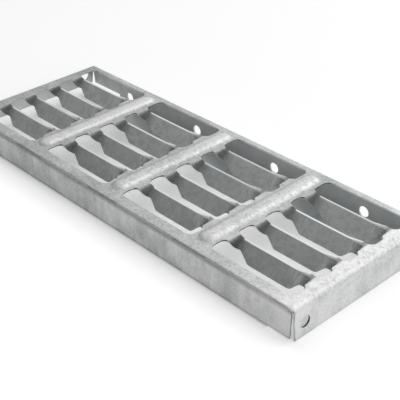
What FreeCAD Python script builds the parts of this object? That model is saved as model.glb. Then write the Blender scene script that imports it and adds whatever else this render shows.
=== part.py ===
import FreeCAD, Part
import math
import os

# Pressed stair tread: one galvanised steel sheet, punched with rows of slots, its strips twisted
# down into louvre blades, its cross-bars embossed, and its four edges folded down.
# X runs along the tread from its relieved end to its full-depth end, Y from nosing to rear, Z up.
# The origin is under the middle of the tread, level with the return lips that it rests on.

os.makedirs("parts", exist_ok=True)
Vec = FreeCAD.Vector
along_x = Vec(1, 0, 0)
along_y = Vec(0, 1, 0)

# Driving dimensions, in millimetres and degrees
length = 600.0
depth = 216.0
height = 40.0                # underside of the lips to the flat of the top sheet
sheet = 2.0
long_fold_inner = 1.5        # inside radius of the nosing, rear and lip folds
end_fold_inner = 5.0         # inside radius of the two end folds

group_count = 4              # groups of slots along the tread
end_margin = 16.0            # outer end face to the first slot
bar_width = 30.0             # cross-bar between two groups
front_margin = 16.5          # nosing face to the first slot
rear_margin = 10.0           # last slot to the rear face
strip_count = 4              # blades in a group
strip_width = 17.0           # a blade at its roots
rear_slot_extra = 4.0        # how much wider the last slot is than the others
slot_radius = 8.0            # corner radius of the slots

blade_angle = 53.0           # turn of a blade from level
blade_width = 23.5           # a blade at its middle
blade_dip = 2.5              # drop of a blade's rear edge below the top face
root_flat = 4.5              # level tab at each root, past the end of the slot
far_twist_run = 9.0          # length over which it then turns, at the relieved end
near_twist_run = 9.0         # the same at the full-depth end
twist_steps = 5              # flat steps of that turn
neck_width = 13.5            # a blade where its turn is complete
far_neck_run = 14.5          # end of the slot to where a blade widens, at the relieved end
near_neck_run = 21.0         # the same at the full-depth end
wide_run = 30.0              # end of the slot to where a blade has its full width
rear_rise = 2.4              # what a blade's rear edge gains towards the root at the full-depth end
rear_rise_run = 32.0         # end of the slot to where it starts to gain that
blade_round = 7.0            # radius of a blade's corners

bead_foot = 26.0             # embossed bead on a cross-bar, width at its foot
bead_crown = 12.0            # its width at the crown
bead_height = 3.0
bead_round = 16.0            # radius along the edge of its crown
bead_end_gap = 1.0           # foot of the bead to the line of the slots' outer edges

lip_width = 40.0             # return lips under the nosing and the rear flange
lip_setback = 36.0           # full-depth end face to the end of the lips
relief_run = 63.0            # relieved end: length with no lip and low flanges
relief_rise = 13.0           # relieved end: how much lower the flanges are

gap_top_long = 2.5           # corner gap, taken off the long flanges at the top
gap_foot_long = 4.5          # the same at the foot
gap_top_end = 1.0            # corner gap, taken off the end flanges at the top
gap_foot_end = 5.0           # the same at the foot

bolt_hole = 14.0             # holes for M12 bolts
end_hole_inset = 18.0        # long faces to the end holes
end_hole_drop = 22.0         # top face to the holes of the full-depth end
relief_hole_drop = 12.5      # top face to the holes of the relieved end
rear_hole_count = 4
rear_hole_inset = 87.0       # end faces to the first and last hole of the rear flange
rear_hole_drop = 24.2        # top face to the holes of the rear flange

# Values that follow from them
long_fold = long_fold_inner + sheet
end_fold = end_fold_inner + sheet
slot_length = (length - 2 * end_margin - (group_count - 1) * bar_width) / group_count
group_pitch = slot_length + bar_width
slot_field = depth - front_margin - rear_margin
slot_width = (slot_field - strip_count * strip_width - rear_slot_extra) / (strip_count + 1)
strip_pitch = slot_width + strip_width
slot_front = -depth / 2 + front_margin
slot_rear = depth / 2 - rear_margin
corner_radius = min(slot_radius, 0.45 * slot_width)
rear_hole_pitch = (length - 2 * rear_hole_inset) / (rear_hole_count - 1)
margin = 1.0                 # overshoot of the cutting solids


def group_centres():
    first = -(group_count - 1) / 2 * group_pitch
    return [first + i * group_pitch for i in range(group_count)]


def bar_centres():
    centres = group_centres()
    return [(a + b) / 2 for a, b in zip(centres, centres[1:])]


def strip_rears():
    return [slot_front + (i + 1) * strip_pitch for i in range(strip_count)]


def outline(points, bulges):
    # Closed wire; a bulge is the middle point of an arc to the next corner, or None for a line
    edges = []
    for i, start in enumerate(points):
        end = points[(i + 1) % len(points)]
        if bulges[i] is None:
            edges.append(Part.LineSegment(start, end).toShape())
        else:
            edges.append(Part.Arc(start, bulges[i], end).toShape())
    return Part.Wire(edges)


def arch(half_span, top, radius, half_reach, across, bottom=0.0):
    # Prism with two rounded upper edges; its span lies across, and it runs square to that
    run = Vec(across.y, across.x, 0)
    inset = radius * (1 - math.sqrt(0.5))

    def at(a, z):
        return across * a + Vec(0, 0, z) - run * half_reach

    corners = [at(-half_span, bottom), at(-half_span, top - radius), at(-half_span + radius, top),
               at(half_span - radius, top), at(half_span, top - radius), at(half_span, bottom)]
    bulges = [None, at(-half_span + inset, top - inset), None,
              at(half_span - inset, top - inset), None, None]
    return Part.Face(outline(corners, bulges)).extrude(run * (2 * half_reach))


def folded_tray():
    # Top sheet with its four flanges; the folds meet in mitres at the corners
    outer = arch(depth / 2, height, long_fold, length / 2, along_y)
    outer = outer.common(arch(length / 2, height, end_fold, depth / 2, along_x))
    roof = height - sheet
    inner = arch(depth / 2 - sheet, roof, long_fold_inner, length / 2, along_y, -margin)
    inner = inner.common(arch(length / 2 - sheet, roof, end_fold_inner, depth / 2, along_x, -margin))
    return outer.cut(inner)


def lip_span():
    # Where the lips start and end along the tread
    return -length / 2 + relief_run, length / 2 - lip_setback


def return_lip(side):
    # Lip folded in under a long flange; side is -1 at the nosing and 1 at the rear
    start, end = lip_span()
    face = side * depth / 2
    k = math.sqrt(0.5)

    def at(inset, z):
        return Vec(start, face - side * inset, z)

    corners = [at(0, long_fold), at(long_fold, 0), at(lip_width, 0), at(lip_width, sheet),
               at(long_fold, sheet), at(sheet, long_fold)]
    outer_bulge = at(long_fold * (1 - k), long_fold * (1 - k))
    inner_bulge = at(long_fold - long_fold_inner * k, long_fold - long_fold_inner * k)
    bulges = [outer_bulge, None, None, None, inner_bulge, None]
    return Part.Face(outline(corners, bulges)).extrude(along_x * (end - start))


def flange_trims():
    # What is cut away under the flanges: the room for the lip folds and the relieved end
    inner = length / 2 - sheet
    trims = []
    for side in (-1, 1):
        y = side * depth / 2
        low = min(y + side * margin, y - side * (sheet + margin))
        wide = sheet + 2 * margin
        corner = Vec(-inner, low, -margin)
        trims.append(Part.makeBox(2 * inner, wide, long_fold + margin, corner))
    relief = Vec(-length / 2 - margin, -depth / 2 - margin, -margin)
    trims.append(Part.makeBox(relief_run + margin, depth + 2 * margin, relief_rise + margin, relief))
    return trims


def corner_gap(end, side):
    # Tapered gap between a long flange and an end flange, widest at the foot
    foot = 0.0 if end > 0 else relief_rise

    def ring(take_long, take_end, z):
        x_out = end * (length / 2 + margin)
        x_in = end * (length / 2 - take_long)
        y_out = side * (depth / 2 + margin)
        y_in = side * (depth / 2 - take_end)
        return Part.makePolygon([Vec(x_out, y_out, z), Vec(x_in, y_out, z), Vec(x_in, y_in, z),
                                 Vec(x_out, y_in, z), Vec(x_out, y_out, z)])

    tall = height - sheet - foot
    slope_long = (gap_foot_long - gap_top_long) / tall
    slope_end = (gap_foot_end - gap_top_end) / tall
    low = ring(gap_foot_long + slope_long * margin, gap_foot_end + slope_end * margin, foot - margin)
    high = ring(gap_top_long, gap_top_end, height - sheet)
    return Part.makeLoft([low, high], True, True)


def bolt_holes():
    holes = []
    reach = sheet + 2 * margin
    for side in (-1, 1):
        y = side * (depth / 2 - end_hole_inset)
        right = Vec(length / 2 - sheet - margin, y, height - end_hole_drop)
        left = Vec(-length / 2 - margin, y, height - relief_hole_drop)
        holes += [Part.makeCylinder(bolt_hole / 2, reach, at, along_x) for at in (right, left)]
    for i in range(rear_hole_count):
        x = (i - (rear_hole_count - 1) / 2) * rear_hole_pitch
        at = Vec(x, depth / 2 - sheet - margin, height - rear_hole_drop)
        holes.append(Part.makeCylinder(bolt_hole / 2, reach, at, along_y))
    return holes


def slot_cut(x, front, rear):
    # One slot with rounded corners, through the top sheet
    r = corner_radius
    inset = r * (1 - math.sqrt(0.5))
    z = height - sheet - margin
    x0 = x - slot_length / 2
    x1 = x + slot_length / 2
    corners = [Vec(x0 + r, front, z), Vec(x1 - r, front, z), Vec(x1, front + r, z), Vec(x1, rear - r, z),
               Vec(x1 - r, rear, z), Vec(x0 + r, rear, z), Vec(x0, rear - r, z), Vec(x0, front + r, z)]
    bulges = [None, Vec(x1 - inset, front + inset, z), None, Vec(x1 - inset, rear - inset, z),
              None, Vec(x0 + inset, rear - inset, z), None, Vec(x0 + inset, front + inset, z)]
    return Part.Face(outline(corners, bulges)).extrude(Vec(0, 0, sheet + 2 * margin))


def group_cuts(x):
    # The slots of one group, and the stretch of the strips that the blades take the place of
    cuts = []
    front = slot_front
    for rear in strip_rears():
        cuts.append(slot_cut(x, front, rear - strip_width))
        front = rear
    cuts.append(slot_cut(x, front, slot_rear))
    reach = slot_length - 2 * root_flat
    first = slot_front + slot_width / 2
    last = strip_rears()[-1] + slot_width / 2
    corner = Vec(x - reach / 2, first, height - sheet - margin)
    cuts.append(Part.makeBox(reach, last - first, sheet + 2 * margin, corner))
    return cuts


def blade_frame(turned):
    # Directions across and through a blade that has made this share of its full turn
    angle = math.radians(blade_angle) * turned
    forward = Vec(0, -math.cos(angle), -math.sin(angle))
    under = Vec(0, math.sin(angle), -math.cos(angle)) * sheet
    return forward, under


def blade_section(end, step):
    # Corners of a blade across its length, after a step of its turn
    share = step / twist_steps
    turned = share * share * (3 - 2 * share)
    run = root_flat + (near_twist_run if end > 0 else far_twist_run) * share
    forward, under = blade_frame(turned)
    width = strip_width + (neck_width - strip_width) * turned
    edge = Vec(end * (slot_length / 2 - run), 0, -blade_dip * turned)
    from_tangent = max(corner_radius - run, 0)
    flare = corner_radius - math.sqrt(corner_radius ** 2 - from_tangent ** 2)
    rise = rear_rise * turned if end > 0 else 0
    rear = edge - forward * (flare + rise)
    front = edge + forward * (width + flare)
    return [rear, front, front + under, rear + under]


def triangle(a, b, c):
    return Part.Face(Part.makePolygon([a, b, c, a]))


def twist(end):
    # Root of a blade, which turns in small flat steps from level to the full angle
    rings = [blade_section(end, step) for step in range(twist_steps + 1)]
    faces = []
    for near, far in zip(rings, rings[1:]):
        for i in range(4):
            j = (i + 1) % 4
            faces += [triangle(near[i], near[j], far[j]), triangle(near[i], far[j], far[i])]
    for ring in (rings[0], rings[-1]):
        faces.append(Part.Face(Part.makePolygon(ring + ring[:1])))
    shell = Part.makeShell(faces)
    shell.sewShape()
    solid = Part.makeSolid(shell)
    if solid.Volume < 0:
        solid.reverse()
    return solid


def rounded(points, radii):
    # Closed wire through the points, with an arc in place of each corner that has a radius
    corners = []
    bulges = []
    for i, at in enumerate(points):
        if not radii[i]:
            corners.append(at)
            bulges.append(None)
            continue
        back = (points[i - 1] - at).normalize()
        ahead = (points[(i + 1) % len(points)] - at).normalize()
        half = back.getAngle(ahead) / 2
        reach = radii[i] / math.tan(half)
        middle = (back + ahead).normalize() * (radii[i] / math.sin(half) - radii[i])
        corners += [at + back * reach, at + ahead * reach]
        bulges += [at + middle, None]
    return outline(corners, bulges)


def blade():
    # One louvre blade: a twist at each root, and a flat middle that widens downwards
    forward, under = blade_frame(1)
    half = slot_length / 2
    far = root_flat + far_twist_run - half
    near = half - root_flat - near_twist_run
    wide = half - wide_run
    plan = [(far, 0), (far, neck_width), (far_neck_run - half, neck_width), (-wide, blade_width),
            (wide, blade_width), (half - near_neck_run, neck_width), (near, neck_width),
            (near, -rear_rise), (half - rear_rise_run, 0)]
    points = [Vec(x, 0, -blade_dip) + forward * width for x, width in plan]
    r = blade_round
    middle = Part.Face(rounded(points, [0, 0, r, r, r, r, 0, 0, 0])).extrude(under)
    return middle.fuse([twist(-1), twist(1)]).removeSplitter()


def stadium(x, width, run, z):
    # Long outline with round ends, lying along Y
    r = width / 2
    straight = run / 2 - r
    middle = (slot_front + slot_rear) / 2
    corners = [Vec(x + r, middle - straight, z), Vec(x + r, middle + straight, z),
               Vec(x - r, middle + straight, z), Vec(x - r, middle - straight, z)]
    bulges = [None, Vec(x, middle + run / 2, z), None, Vec(x, middle - run / 2, z)]
    return outline(corners, bulges)


def bead(x, base):
    # Embossed bead on a cross-bar, as a solid that stands on the level base
    foot_run = slot_field - 2 * bead_end_gap
    crown_run = foot_run - (bead_foot - bead_crown)
    rings = [stadium(x, bead_foot, foot_run, base), stadium(x, bead_crown, crown_run, base + bead_height)]
    solid = Part.makeLoft(rings, True, True)
    crown = [e for e in solid.Edges if e.BoundBox.ZMin > base + bead_height / 2]
    return solid.makeFillet(bead_round, crown)


def tread():
    beads = [bead(x, height) for x in bar_centres()]
    hollows = [bead(x, height - sheet) for x in bar_centres()]
    cuts = hollows + flange_trims() + bolt_holes()
    cuts += [corner_gap(end, side) for end in (-1, 1) for side in (-1, 1)]
    for x in group_centres():
        cuts += group_cuts(x)
    plate = folded_tray().fuse(beads).cut(cuts)
    one_blade = blade()
    blades = []
    for x in group_centres():
        for y in strip_rears():
            copy = one_blade.copy()
            copy.translate(Vec(x, y, height))
            blades.append(copy)
    lips = [return_lip(side) for side in (-1, 1)]
    return plate.fuse(blades + lips).removeSplitter()


shape = tread()
solids = shape.Solids
print("solids", len(solids), "valid", shape.isValid(), "volume", round(shape.Volume, 1))
print("box", shape.BoundBox)
solids[0].exportStep("parts/tread.step")
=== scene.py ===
import bpy
import math
from mathutils import Matrix, Vector


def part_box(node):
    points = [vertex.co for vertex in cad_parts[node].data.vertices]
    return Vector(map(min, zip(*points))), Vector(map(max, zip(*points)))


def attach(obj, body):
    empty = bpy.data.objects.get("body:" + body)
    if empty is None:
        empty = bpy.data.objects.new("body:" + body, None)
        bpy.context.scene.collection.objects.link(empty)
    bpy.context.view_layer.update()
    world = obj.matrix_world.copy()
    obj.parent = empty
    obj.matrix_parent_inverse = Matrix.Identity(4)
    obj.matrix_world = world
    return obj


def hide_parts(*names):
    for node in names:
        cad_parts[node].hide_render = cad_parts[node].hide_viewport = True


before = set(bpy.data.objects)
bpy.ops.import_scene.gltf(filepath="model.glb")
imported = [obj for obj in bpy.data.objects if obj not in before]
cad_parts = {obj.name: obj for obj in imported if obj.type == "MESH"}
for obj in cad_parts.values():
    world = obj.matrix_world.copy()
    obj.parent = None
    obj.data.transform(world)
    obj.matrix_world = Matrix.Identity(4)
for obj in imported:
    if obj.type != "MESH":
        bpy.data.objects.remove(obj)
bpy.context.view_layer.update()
treadLow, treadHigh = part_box("tread")
print("frame loaded", [round(v, 4) for v in treadHigh - treadLow])


class Wire:
    # a socket that takes part in sums
    def __init__(self, tree, socket):
        self.tree = tree
        self.socket = socket

    def pick(self, name):
        return Wire(self.tree, self.socket.node.outputs[name])

    def calc(self, operation, other=0.0):
        return self.sum(operation, self, other)

    def sum(self, operation, first, second):
        return self.tree.add("ShaderNodeMath", {"operation": operation}, {0: first, 1: second})

    def __add__(self, other):
        return self.sum("ADD", self, other)

    def __radd__(self, other):
        return self.sum("ADD", other, self)

    def __sub__(self, other):
        return self.sum("SUBTRACT", self, other)

    def __rsub__(self, other):
        return self.sum("SUBTRACT", other, self)

    def __mul__(self, other):
        return self.sum("MULTIPLY", self, other)

    def __rmul__(self, other):
        return self.sum("MULTIPLY", other, self)


class Tree:
    # the nodes of one material or of the world
    def __init__(self, owner):
        owner.use_nodes = True
        self.tree = owner.node_tree
        self.tree.nodes.clear()

    def add(self, kind, settings=None, sockets=None, out=0):
        node = self.tree.nodes.new(kind)
        for name, value in (settings or {}).items():
            if name == "stops":
                self.setStops(node.color_ramp, value)
            else:
                setattr(node, name, value)
        for name, value in (sockets or {}).items():
            if isinstance(value, Wire):
                self.tree.links.new(value.socket, node.inputs[name])
            else:
                node.inputs[name].default_value = value
        return Wire(self, node.outputs[out]) if len(node.outputs) else None

    def setStops(self, ramp, stops):
        while len(ramp.elements) < len(stops):
            ramp.elements.new(0.5)
        for element, (place, colour) in zip(ramp.elements, stops):
            element.position = place
            element.color = (*colour, 1) if isinstance(colour, tuple) else (colour, colour, colour, 1)

    def blend(self, share, first, second):
        settings = {"data_type": "RGBA", "blend_type": "MIX"}
        colours = [c if isinstance(c, Wire) else (*c, 1) for c in (first, second)]
        return self.add("ShaderNodeMix", settings, {0: share, 6: colours[0], 7: colours[1]}, 2)

    def ramp(self, value, stops):
        return self.add("ShaderNodeValToRGB", {"stops": stops}, {0: value})

    def step(self, value, none, full):
        settings = {"interpolation_type": "SMOOTHSTEP"}
        return self.add("ShaderNodeMapRange", settings, {0: value, 1: none, 2: full})

    def noise(self, place, size, detail, roughness=0.6):
        sockets = {"Vector": place, "Scale": 1 / size, "Detail": detail, "Roughness": roughness}
        return self.add("ShaderNodeTexNoise", sockets=sockets)

    def stretch(self, place, scale):
        return self.add("ShaderNodeMapping", sockets={"Vector": place, "Scale": scale})


slotRow = {
    "start": -0.2840,          # the first slot's far end along the tread
    "pitch": 0.1495,
    "length": 0.1195,
    "front": -0.0915,          # the first slot's front edge
    "stripPitch": 0.0405,      # from one strip between two slots to the next
    "sideReach": 0.0945,       # no slot is further from the middle line
}

zincLook = {
    "metal": 0.58,
    "rough": 0.44,
    "bump": 0.18,
    "bumpDepth": 0.0004,
    "grainSize": 0.0030,                       # metres across one crystal of the spangle
    "warpReach": (0.003, 0.003, 0.003),        # how far the crystals' edges wander
    "runStretch": (1.0, 1.0, 0.16),
    "scuffStretch": (1.0, 0.12, 0.12),
    "holeMiddle": {"across": 0.090, "height": 0.018},      # of the near end's holes
    "colours": {
        "pale": (0.700, 0.704, 0.702),
        "mid": (0.530, 0.538, 0.536),
        "dull": (0.370, 0.380, 0.380),
        "worn": (0.790, 0.790, 0.786),         # rubbed bright on the crowns of the beads
        "nearBarSheen": (0.860, 0.862, 0.858),       # painted sheen on the near end's level bar and fold
        "edge": (0.940, 0.942, 0.940),         # painted highlight along the blades' upper edges
        "inside": (0.420, 0.440, 0.440),       # dull bloom and painted shade on the blades and inside the flanges
        "paintedFill": (0.780, 0.806, 0.806),        # painted fill light on the blades, the inner walls and the lips, which lie in shade
        "foldPaintedShade": (0.150, 0.154, 0.154),     # painted shade along the front fold
        "cutWallShade": (0.040, 0.042, 0.042),       # painted shade on the cut walls in the slots' ends, the corner gaps and the holes
        "paintedShade": (0.030, 0.031, 0.030),        # painted shade in the creases at the blades' roots and along the lower edges
    },
    "marks": {                                 # metres across one mark, and its detail
        "warp": (0.006, 2.0),
        "speck": (0.0018, 2.0),
        "cloud": (0.028, 5.0),                 # a pale or dull patch
        "broad": (0.110, 2.0),
        "run": (0.0075, 4.0),                  # the bath's run marks on the flanges
        "mottle": (0.0065, 3.0),
        "scuff": (0.0022, 2.0),
    },
    "shares": {                                # how strong each mark is
        "grain": 0.42,
        "grainOffUpright": 0.23,
        "grainOffInside": 0.20,
        "speck": 0.9,
        "cloud": 0.8,
        "cloudUpright": 0.5,
        "broad": 0.8,
        "runs": 0.9,
        "runsOffEnds": 0.8,
        "farEndShadeAndFill": 0.26,
        "nearEndPaintedLight": 0.33,
        "flange": 0.12,
        "crown": 0.52,
        "crownGrain": 0.5,
        "crownSpeck": 0.9,
        "crownFarPaintedLight": 0.34,
        "crownRearPaintedLight": 0.22,
        "nearBarSheen": 0.76,
        "nearBarSheenGrain": 0.6,
        "nearBarSheenSpeck": 1.6,
        "inside": 0.45,
        "bladePaintedFill": 0.05,
        "bladePaintedFillRear": 0.25,
        "mottle": 0.42,
        "wallPaintedFill": 0.36,
        "wallPaintedFillFar": 0.20,
        "wallPaintedFillRear": 0.22,
        "lipPaintedFill": 0.45,
        "lipNear": 0.5,
        "frontFold": 0.48,
        "belowFold": 0.52,
        "foldOffNear": 0.35,
        "foldCloud": 0.6,
        "scuff": 0.8,
        "farRoot": 0.76,
        "farRootRim": 0.35,
        "farRootCore": 0.65,
        "farRootCloud": 0.6,
        "nearRoot": 0.42,
        "nearRootCloud": 0.9,
        "nearRootSpeck": 1.6,
        "lowEdgeShade": 0.5,
        "lowEdgeOffNear": 0.4,
        "cutWallShade": 0.85,
        "roughGrain": 0.12,
        "roughCloud": 0.30,
        "roughInside": 0.06,
        "roughRoot": 0.4,
        "roughFold": 0.24,
        "bumpGrain": 0.6,
        "bumpCloud": 2.0,
    },
    "spans": {                                 # where each place starts and where it is full
        # by the slope of the face
        "upright": (0.50, 0.20),
        "endFace": (0.50, 0.80),
        "openFace": (0.93, 0.985),
        "outSlope": (0.0, 0.2),
        "nearBarSlope": (0.45, 0.98),
        "foldLowSlope": (0.15, 0.45),
        "foldHighSlope": (0.98, 0.80),
        "belowFoldSlope": (0.45, 0.20),
        "rootSlope": (-0.05, 0.12),
        "cutEndSlope": (0.15, 0.45),
        "gapSlope": (0.5, 0.8),
        "holeSlope": (0.70, 0.40),
        # by the strength of a mark
        "mottle": (0.44, 0.62),
        "scuffLine": (0.46, 0.62),
        "scuffPatch": (-0.14, 0.02),
        # metres along the tread
        "innerAlong": (0.2996, 0.2986),
        "outEnd": (0.2920, 0.2930),
        "farEndShadeAndFill": (-0.235, -0.290),
        "nearEndPaintedLight": (0.180, 0.285),
        "flangePaintedLightFade": (0.0, -0.22),
        "crownFarPaintedLight": (0.02, -0.14),
        "nearBar": (0.262, 0.288),
        "rearWallDull": (0.140, -0.050),
        "pastFirstEnd": (-0.270, -0.250),
        "gapAlong": (0.280, 0.290),
        "holeAlong": (0.2974, 0.2978),
        "nearFold": (0.2890, 0.2945),
        # metres across the tread
        "innerAcross": (0.1076, 0.1066),
        "stripFront": (-0.0705, -0.0685),
        "stripRear": (0.0730, 0.0710),
        "crownRearPaintedLight": (0.02, 0.08),
        "bladePaintedFill": (-0.060, 0.080),
        "rearWall": (0.095, 0.104),
        "frontFold": (-0.1036, -0.1048),
        "frontFace": (-0.1072, -0.1078),
        "gapAcross": (-0.1050, -0.1058),
        # metres up
        "crown": (0.0404, 0.0424),
        "belowTop": (0.0385, 0.0350),
        "lipPaintedFill": (0.0035, 0.0025),
        "belowFold": (0.0325, 0.0362),
        "bladeEdgeLow": (0.0359, 0.0363),
        "bladeEdgeHigh": (0.0396, 0.0388),
        "aboveLips": (0.010, 0.014),
        "nearRootTop": (0.0390, 0.0345),
        "lowEdgeShade": (0.0075, 0.0005),
        "cutEndHeight": (0.0384, 0.0387),
        # metres from a strip's front, from a slot's far or near end, and from a hole's middle
        "strip": (0.0225, 0.0245),
        "lipNear": (0.075, 0.105),
        "bladeEdgeFar": (0.009, 0.014),
        "bladeEdgeNear": (0.008, 0.016),
        "scuffNear": (0.0130, 0.0190),
        "scuffFar": (0.0420, 0.0240),
        "farRootStart": (0.0035, 0.0085),
        "farRootCore": (0.0150, 0.0100),
        "farRootEnd": (0.026, 0.0130),
        "nearRootStart": (0.0065, 0.0110),
        "nearRootEnd": (0.024, 0.0140),
        "cutWallShade": (0.0100, 0.0080),
        "holeWall": (0.0080, 0.0074),
    },
}


def galvanisedSheet():
    look = zincLook
    paint, marks, share = look["colours"], look["marks"], look["shares"]
    metal = bpy.data.materials.new("galvanisedSheet")
    tree = Tree(metal)
    place = tree.add("ShaderNodeTexCoord", out="Object")
    along = tree.add("ShaderNodeSeparateXYZ", sockets={0: place}, out="X")
    across, height = along.pick("Y"), along.pick("Z")
    endward = tree.add("ShaderNodeSeparateXYZ", sockets={0: place.pick("Normal")}, out="X")
    upward = endward.pick("Z")
    alongSize, acrossSize, endTilt = (wire.calc("ABSOLUTE") for wire in (along, across, endward))

    def span(value, name):
        return tree.step(value, *look["spans"][name])

    # where on the tread this is
    upright = span(upward.calc("ABSOLUTE"), "upright")
    endFace = span(endTilt, "endFace")
    openFace = span(upward, "openFace")
    inner = span(acrossSize, "innerAcross") * span(alongSize, "innerAlong")
    outEnd = span(alongSize, "outEnd") * span(along.calc("SIGN") * endward, "outSlope")
    inside = inner * span(height, "belowTop") * (1 - openFace) * (1 - outEnd)
    onBlade = inside * (1 - upright)
    flange = upright * (1 - inside) * (1 - endFace)
    farEndShadeAndFill = span(along, "farEndShadeAndFill")
    nearEndPaintedLight = span(along, "nearEndPaintedLight")
    slotPlace = (along - slotRow["start"]).calc("FLOORED_MODULO", slotRow["pitch"])
    nearGap = slotRow["length"] - slotPlace
    stripPlace = (across - slotRow["front"]).calc("FLOORED_MODULO", slotRow["stripPitch"])
    strip = span(stripPlace, "strip") * span(across, "stripRear") * span(across, "stripFront")

    # spangle: each crystal of zinc has its own grey
    warp = tree.noise(place, *marks["warp"]).pick("Color")
    shifted = tree.add("ShaderNodeVectorMath", {"operation": "MULTIPLY_ADD"},
                       {0: warp, 1: look["warpReach"], 2: place})
    crystal = tree.add("ShaderNodeTexVoronoi", {"feature": "F1"},
                       {"Vector": shifted, "Scale": 1 / look["grainSize"]}, out="Color")
    grain = tree.add("ShaderNodeSeparateColor", sockets={0: crystal}) - 0.5
    speck, cloud, broad = (tree.noise(place, *marks[name]) - 0.5 for name in ("speck", "cloud", "broad"))

    # run marks: the bath drains down the long flanges
    runs = tree.noise(tree.stretch(shifted, look["runStretch"]), *marks["run"]) - 0.5
    runs = runs * upright * (1 - share["runsOffEnds"] * endFace)

    # the grey below all else
    grainShare = share["grain"] - share["grainOffUpright"] * upright - share["grainOffInside"] * inside
    tone = 0.5 + grain * grainShare + speck * share["speck"]
    tone = tone + cloud * (share["cloud"] + share["cloudUpright"] * upright)
    tone = tone + broad * share["broad"] + runs * share["runs"]
    # painted light: the top darker at the far end, the outer faces paler towards the near end, and the
    # flanges paler still there, as light falls
    tone = tone - share["farEndShadeAndFill"] * farEndShadeAndFill * openFace + share["nearEndPaintedLight"] * nearEndPaintedLight * (1 - inside)
    tone = tone + flange * (share["flange"] - share["flange"] * span(along, "flangePaintedLightFade"))
    colour = tree.ramp(tone, [(0.0, paint["dull"]), (0.5, paint["mid"]), (1.0, paint["pale"])])

    # feet rub the crowns of the beads; painted light makes them paler still towards the far end and the rear
    crown = share["crown"] + grain * share["crownGrain"] + speck * share["crownSpeck"]
    crown = crown + share["crownFarPaintedLight"] * span(along, "crownFarPaintedLight")
    crown = crown + share["crownRearPaintedLight"] * span(across, "crownRearPaintedLight")
    crown = span(height, "crown") * crown
    # painted sheen: the near end's bar and its fold lighter where the light falls, with the zinc's grain and
    # specks in it
    nearBarSheen = share["nearBarSheen"] + grain * share["nearBarSheenGrain"] + speck * share["nearBarSheenSpeck"]
    nearBarSheen = span(along, "nearBar") * span(upward, "nearBarSlope") * nearBarSheen

    # painted fill light on the blades, on the walls inside and on the lips, and a random dull mottle on the
    # blades
    bladePaintedFill = share["bladePaintedFill"] + share["bladePaintedFillRear"] * span(across, "bladePaintedFill")
    mottle = onBlade * span(tree.noise(shifted, *marks["mottle"]), "mottle")
    rearWall = span(across, "rearWall")
    wallPaintedFill = share["wallPaintedFill"] + share["wallPaintedFillFar"] * farEndShadeAndFill * (1 - rearWall)
    wallPaintedFill = wallPaintedFill - share["wallPaintedFillRear"] * rearWall * span(along, "rearWallDull")
    lipPaintedFill = share["lipPaintedFill"] + share["lipNear"] * span(slotPlace, "lipNear")
    lipPaintedFill = span(height, "lipPaintedFill") * openFace * lipPaintedFill

    # painted shade along the front fold and below it, and painted highlights on the blades' upper edges
    frontFold = span(across, "frontFold") * span(upward, "foldLowSlope") * span(upward, "foldHighSlope")
    belowFold = span(across, "frontFace") * span(height, "belowFold") * span(upward, "belowFoldSlope")
    foldPaintedShade = frontFold * share["frontFold"] + belowFold * share["belowFold"]
    foldPaintedShade = foldPaintedShade * (1 - share["foldOffNear"] * nearEndPaintedLight + cloud * share["foldCloud"])
    # painted highlight: a bright band along the blades' upper edges
    bladeEdgeHighlight = inner * span(height, "bladeEdgeLow") * span(height, "bladeEdgeHigh")
    bladeEdgeHighlight = bladeEdgeHighlight * span(nearGap, "bladeEdgeNear") * span(slotPlace, "bladeEdgeFar")

    # scuffs across the blades beside their near roots
    hatch = tree.noise(tree.stretch(shifted, look["scuffStretch"]), *marks["scuff"])
    scuff = span(hatch, "scuffLine") * span(cloud, "scuffPatch")
    scuff = scuff * span(nearGap, "scuffNear") * span(nearGap, "scuffFar")

    # painted shade in the creases at the roots of the blades and along the lower edges
    aboveLips = span(height, "aboveLips")
    farRoot = share["farRootRim"] + share["farRootCore"] * span(slotPlace, "farRootCore")
    farRoot = span(slotPlace, "farRootStart") * farRoot * span(slotPlace, "farRootEnd")
    farRoot = farRoot * strip * aboveLips * (share["farRoot"] + cloud * share["farRootCloud"])
    nearRoot = span(nearGap, "nearRootStart") * span(nearGap, "nearRootEnd")
    nearRoot = nearRoot * inner * span(height, "nearRootTop") * aboveLips
    nearRootShade = share["nearRoot"] + cloud * share["nearRootCloud"] + speck * share["nearRootSpeck"]
    nearRoot = nearRoot * nearRootShade
    root = (farRoot + nearRoot) * span(upward, "rootSlope")
    lowEdgeShade = span(height, "lowEdgeShade") * upright
    rootAndEdgeShade = root + lowEdgeShade * (share["lowEdgeShade"] - share["lowEdgeOffNear"] * endFace * nearEndPaintedLight)

    # painted shade on the cut walls in the slots' far ends, the near front gap and the near end's holes
    cutWallShade = span(slotPlace, "cutWallShade") * span(endward, "cutEndSlope") * inner * upright
    cutWallShade = cutWallShade * span(height, "cutEndHeight") * span(along, "pastFirstEnd")
    gapFace = span(across, "gapAcross") * span(endward, "gapSlope") * span(along, "gapAlong")
    holeUp = height - look["holeMiddle"]["height"]
    holeSide = acrossSize - look["holeMiddle"]["across"]
    holeGap = (holeUp * holeUp + holeSide * holeSide).calc("SQRT")
    holeWall = span(holeGap, "holeWall") * span(endTilt, "holeSlope") * span(along, "holeAlong")

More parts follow.
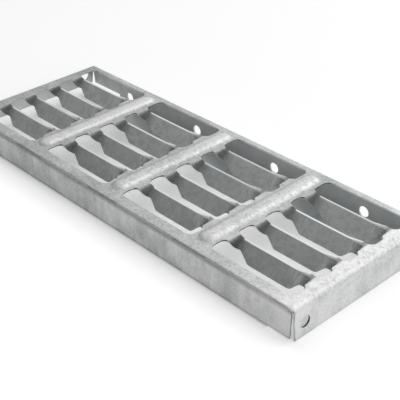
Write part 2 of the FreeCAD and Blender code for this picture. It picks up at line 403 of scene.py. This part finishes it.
    coats = [
        (crown, "worn"),
        (nearBarSheen, "nearBarSheen"),
        # dull bloom and painted shade on all below the top sheet
        (inside * share["inside"], "inside"),
        (onBlade * bladePaintedFill, "paintedFill"),
        (mottle * share["mottle"], "dull"),
        (inside * upright * wallPaintedFill, "paintedFill"),
        (lipPaintedFill, "paintedFill"),
        (foldPaintedShade, "foldPaintedShade"),
        (bladeEdgeHighlight, "edge"),
        (scuff * onBlade * share["scuff"], "pale"),
        (rootAndEdgeShade, "paintedShade"),
        ((cutWallShade + gapFace + holeWall) * share["cutWallShade"], "cutWallShade"),
    ]
    for mask, name in coats:
        colour = tree.blend(mask, colour, paint[name])

    nearFold = span(along, "nearFold") * (1 - endFace)
    rough = look["rough"] - (grain * share["roughGrain"] + cloud * share["roughCloud"])
    rough = rough + share["roughInside"] * inside + share["roughRoot"] * root + share["roughFold"] * nearFold
    bumps = grain * share["bumpGrain"] + speck + cloud * share["bumpCloud"]
    relief = tree.add("ShaderNodeBump", sockets={"Strength": look["bump"], "Distance": look["bumpDepth"],
                                                 "Height": bumps})
    skin = tree.add("ShaderNodeBsdfPrincipled", sockets={"Base Color": colour, "Roughness": rough,
                                                         "Metallic": look["metal"], "Normal": relief})
    tree.add("ShaderNodeOutputMaterial", sockets={"Surface": skin})
    print("zinc mixed")
    return metal


sheetLook = {
    "mergeGap": 0.00001,               # the frame's loose triangles are joined within this
    "flatAngle": 0.4,                  # degrees, triangles flatter than this become one face
    "cornerCuts": (0.2885, 0.1015),    # along and across, cuts that keep the folds straight
    "farTwist": 0.0140,                # the blades turn within this of a slot's far end
    "nearTwist": 0.0140,               # and within this of its near end
    "tabRim": 0.0020,                  # their level roots start this far from the slot's end
    "belowTop": 0.03995,               # nearer to that end, only what is lower than this is in a twist
    "twistEdge": 0.008,                # the edges across a blade are longer than this
    "twistSlant": 0.0005,              # and the slanting ones among them run along it more than this
    "twistCuts": 2,
    "edgeRound": 0.0004,               # zinc rounds the cut edges
    "edgeSteps": 2,
    "edgeAngle": 70.0,                 # degrees, sharper edges are rounded
    "bladeRound": 0.0015,              # the blades' upper edges are rolled flat
    "bladeEdges": (0.0370, 0.0379),    # heights of those
    "shadeAngle": 36.0,                # degrees, flatter edges are shaded smooth
    "endHoles": {"along": 0.2975, "across": (0.080, 0.100), "height": (0.010, 0.036)},
    "rearHoles": {"across": 0.1055, "height": (0.008, 0.024)},
    "endFolds": {"along": 0.2935, "across": 0.1035, "height": 0.0335},
    "sideFolds": {"along": 0.2900, "across": 0.1045, "plain": (0.0045, 0.0365)},
    "corners": {"along": 0.2900, "across": 0.1030},
}


def selectOnly(piece):
    bpy.ops.object.select_all(action="DESELECT")
    piece.select_set(True)
    bpy.context.view_layer.objects.active = piece


def between(value, limits):
    return limits[0] < value < limits[1]


def inTwist(spot):
    look = sheetLook
    slotPlace = (spot.x - slotRow["start"]) % slotRow["pitch"]
    nearGap = slotRow["length"] - slotPlace
    close = slotPlace < look["farTwist"] or 0 < nearGap < look["nearTwist"]
    onTab = slotPlace > look["tabRim"] and nearGap > look["tabRim"]
    return close and abs(spot.y) < slotRow["sideReach"] and (onTab or spot.z < look["belowTop"])


def ofHole(spot):
    end, rear = sheetLook["endHoles"], sheetLook["rearHoles"]
    atEnd = abs(spot.x) > end["along"] and between(abs(spot.y), end["across"])
    atEnd = atEnd and between(spot.z, end["height"])
    atRear = spot.y > rear["across"] and between(spot.z, rear["height"])
    return atEnd or atRear


def ofFold(spot):
    end, side, corner = (sheetLook[name] for name in ("endFolds", "sideFolds", "corners"))
    along, across = abs(spot.x), abs(spot.y)
    atEnd = along > end["along"] and across < end["across"] and spot.z > end["height"]
    atSide = across > side["across"] and along < side["along"] and not between(spot.z, side["plain"])
    atCorner = along > corner["along"] and across > corner["across"]
    return atEnd or atSide or atCorner


def cutBesideCorners():
    alongCut, acrossCut = sheetLook["cornerCuts"]
    for side in (-1, 1):
        for spot, way in (((side * alongCut, 0, 0), (1, 0, 0)), ((0, side * acrossCut, 0), (0, 1, 0))):
            bpy.ops.mesh.select_all(action="SELECT")
            bpy.ops.mesh.bisect(plane_co=spot, plane_no=way, threshold=sheetLook["mergeGap"])


def smoothTwists(mesh):
    # the triangles of each twist are paired, then cut into small faces that shade as one curve
    look = sheetLook
    bpy.ops.mesh.select_mode(type="EDGE")
    bpy.ops.mesh.select_all(action="DESELECT")
    bpy.ops.object.mode_set(mode="OBJECT")
    for edge in mesh.edges:
        first, second = (mesh.vertices[i].co for i in edge.vertices)
        run = second - first
        slanting = run.length > look["twistEdge"] and abs(run.x) > look["twistSlant"]
        edge.select = slanting and inTwist((first + second) / 2)
    bpy.ops.object.mode_set(mode="EDIT")
    bpy.ops.mesh.dissolve_edges(use_verts=False)
    bpy.ops.mesh.select_mode(type="FACE")
    bpy.ops.mesh.select_all(action="DESELECT")
    bpy.ops.object.mode_set(mode="OBJECT")
    for face in mesh.polygons:
        corners = [mesh.vertices[i].co for i in face.vertices]
        wide = max((a - b).length for a in corners for b in corners)
        face.select = len(corners) == 4 and wide > look["twistEdge"] and inTwist(face.center)
    print("twist faces", sum(face.select for face in mesh.polygons))
    bpy.ops.object.mode_set(mode="EDIT")
    bpy.ops.mesh.subdivide(number_cuts=look["twistCuts"])


def roundEdges(mesh):
    # first the blades' upper edges, then the other cut edges
    look = sheetLook
    for blades in (True, False):
        bpy.ops.mesh.select_mode(type="EDGE")
        bpy.ops.mesh.select_all(action="DESELECT")
        bpy.ops.mesh.edges_select_sharp(sharpness=math.radians(look["edgeAngle"]))
        bpy.ops.object.mode_set(mode="OBJECT")
        for element in (*mesh.vertices, *mesh.polygons):
            element.select = False             # or their other edges would be rounded too
        for edge in mesh.edges:
            first, second = (mesh.vertices[i].co for i in edge.vertices)
            middle = (first + second) / 2
            level = between(min(first.z, second.z), look["bladeEdges"])
            ofBlade = level and abs(middle.y) < slotRow["sideReach"]
            sharp = inTwist(middle) or ofHole(middle) or ofFold(middle)      # these stay sharp
            edge.select = edge.select and ofBlade == blades and not sharp
        print("edges to round", sum(edge.select for edge in mesh.edges))
        bpy.ops.object.mode_set(mode="EDIT")
        size, steps = (look["bladeRound"], 1) if blades else (look["edgeRound"], look["edgeSteps"])
        bpy.ops.mesh.bevel(offset=size, segments=steps, affect="EDGES", clamp_overlap=False)


def galvanisedTread():
    look = sheetLook
    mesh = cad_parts["tread"].data.copy()
    piece = bpy.data.objects.new("galvanisedTread", mesh)
    bpy.context.scene.collection.objects.link(piece)
    selectOnly(piece)
    bpy.ops.object.mode_set(mode="EDIT")
    bpy.ops.mesh.select_all(action="SELECT")
    bpy.ops.mesh.remove_doubles(threshold=look["mergeGap"])
    bpy.ops.mesh.dissolve_limited(angle_limit=math.radians(look["flatAngle"]))
    cutBesideCorners()
    smoothTwists(mesh)
    roundEdges(mesh)
    bpy.ops.object.mode_set(mode="OBJECT")
    bpy.ops.object.shade_smooth_by_angle(angle=math.radians(look["shadeAngle"]))
    even = piece.modifiers.new("evenShade", "WEIGHTED_NORMAL")   # flat faces stay flat beside round edges
    even.keep_sharp = True
    bpy.ops.object.modifier_apply(modifier=even.name)
    mesh.materials.clear()
    mesh.materials.append(galvanisedSheet())
    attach(piece, "root")
    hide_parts("tread")
    print("tread dressed", len(mesh.polygons), "faces")


stageLook = {
    "reach": 6.0,                      # metres, half the floor
    "white": (0.95, 0.95, 0.95),
    "glow": 0.195,                     # the floor's own white, which keeps no shadow
    "frontPaintedLight": 0.19,                 # painted light on the floor in front of the tread, which thins its shadow there
    "frontLine": -0.098,               # it starts here, below the front lip
    "frontWidth": 0.027,               # and is full after this
    "frontFan": 1.6,                   # or later beyond the tread's ends, for each metre
    "treadEnd": 0.30,
    "underPaintedShadow": -0.080,               # painted shadow on the floor below the far end
    "underAlong": (0.330, 0.290),
    "underAcross": (0.120, 0.095),
    "underFar": (0.060, -0.240),
}


def layFloor():
    look = stageLook
    bpy.ops.mesh.primitive_plane_add(size=2 * look["reach"], location=(0, 0, treadLow.z))
    floor = bpy.context.object
    floor.name = "paleFloor"
    paper = bpy.data.materials.new("paleFloor")
    tree = Tree(paper)
    shade = tree.add("ShaderNodeBsdfDiffuse", sockets={"Color": (*look["white"], 1)})
    seen = tree.add("ShaderNodeLightPath", out="Is Camera Ray")
    place = tree.add("ShaderNodeTexCoord", out="Object")
    along = tree.add("ShaderNodeSeparateXYZ", sockets={0: place}, out="X")
    across = along.pick("Y")
    alongSize, acrossSize = along.calc("ABSOLUTE"), across.calc("ABSOLUTE")
    under = tree.step(alongSize, *look["underAlong"]) * tree.step(acrossSize, *look["underAcross"])
    under = under * tree.step(along, *look["underFar"])
    past = (alongSize - look["treadEnd"]).calc("MAXIMUM", 0.0)
    width = look["frontWidth"] + look["frontFan"] * past
    front = tree.step((look["frontLine"] - across).calc("DIVIDE", width), 0.0, 1.0)
    # painted light in front of the tread and painted shadow below its far end, seen only by the camera
    paintedFloorLight = look["frontPaintedLight"] * front + look["underPaintedShadow"] * under
    mirrored = seen + seen.pick("Is Glossy Ray") + seen.pick("Is Transmission Ray")
    white = mirrored * look["glow"] + seen * paintedFloorLight
    shine = tree.add("ShaderNodeEmission", sockets={"Color": white, "Strength": 1.0})
    both = tree.add("ShaderNodeAddShader", sockets={0: shade, 1: shine})
    tree.add("ShaderNodeOutputMaterial", sockets={"Surface": both})
    floor.data.materials.append(paper)
    print("floor laid")


lampLook = {
    "back": {"place": (0.30, 2.40, 1.90), "aim": (0.05, 0.0, 0.03), "size": 3.0, "power": 24.0},
    "right": {"place": (2.20, -0.60, 1.30), "aim": (0.1, 0.0, 0.03), "size": 1.6, "power": 14.5},
}


def hangLamp(name):
    look = lampLook[name]
    lamp = bpy.data.lights.new(name, "AREA")
    lamp.size = look["size"]
    lamp.energy = look["power"]
    holder = bpy.data.objects.new(name, lamp)
    bpy.context.scene.collection.objects.link(holder)
    holder.location = look["place"]
    aim = Vector(look["aim"]) - Vector(look["place"])
    holder.rotation_euler = aim.to_track_quat("-Z", "Y").to_euler()
    print("lamp hung", name)


skyLook = {
    "way": (0.10, 0.82, 0.56),         # brightest this way, behind the tread
    "stops": [(0.0, 0.30), (0.30, 0.29), (0.60, 0.27), (0.67, 0.31), (0.74, 0.47), (0.78, 0.59),
              (0.85, 0.73), (0.90, 0.85)],
    "power": 1.2,
}


def paintSky():
    look = skyLook
    sky = bpy.data.worlds.new("studioSky")
    bpy.context.scene.world = sky
    tree = Tree(sky)
    way = tree.add("ShaderNodeTexCoord", out="Generated")
    side = tree.add("ShaderNodeVectorMath", {"operation": "DOT_PRODUCT"},
                    {0: way, 1: look["way"]}, out="Value")
    bright = tree.ramp(side * 0.5 + 0.5, look["stops"])
    back = tree.add("ShaderNodeBackground", sockets={"Color": bright, "Strength": look["power"]})
    tree.add("ShaderNodeOutputWorld", sockets={"Surface": back})
    print("sky painted")


cameraLook = {
    "place": (0.7771, -0.6458, 0.6176),
    "ahead": (-0.63317, 0.56225, -0.53194),
    "right": (0.67654, 0.73590, -0.02745),
    "view": 23.616,                    # degrees across the square picture
    "sensor": 36.0,
    "sight": 30.0,                     # metres
}


def setCamera():
    look = cameraLook
    eye = bpy.data.cameras.new("photoView")
    eye.sensor_width = look["sensor"]
    eye.angle = math.radians(look["view"])
    eye.clip_end = look["sight"]
    holder = bpy.data.objects.new("photoView", eye)
    bpy.context.scene.collection.objects.link(holder)
    ahead = Vector(look["ahead"]).normalized()
    right = Vector(look["right"]).normalized()
    up = right.cross(ahead)
    turn = Matrix((right, up, -ahead)).transposed()
    holder.matrix_world = Matrix.Translation(look["place"]) @ turn.to_4x4()
    bpy.context.scene.camera = holder
    print("camera set")


galvanisedTread()
layFloor()
for lampName in lampLook:
    hangLamp(lampName)
paintSky()
setCamera()
bpy.context.scene.view_settings.view_transform = "Standard"
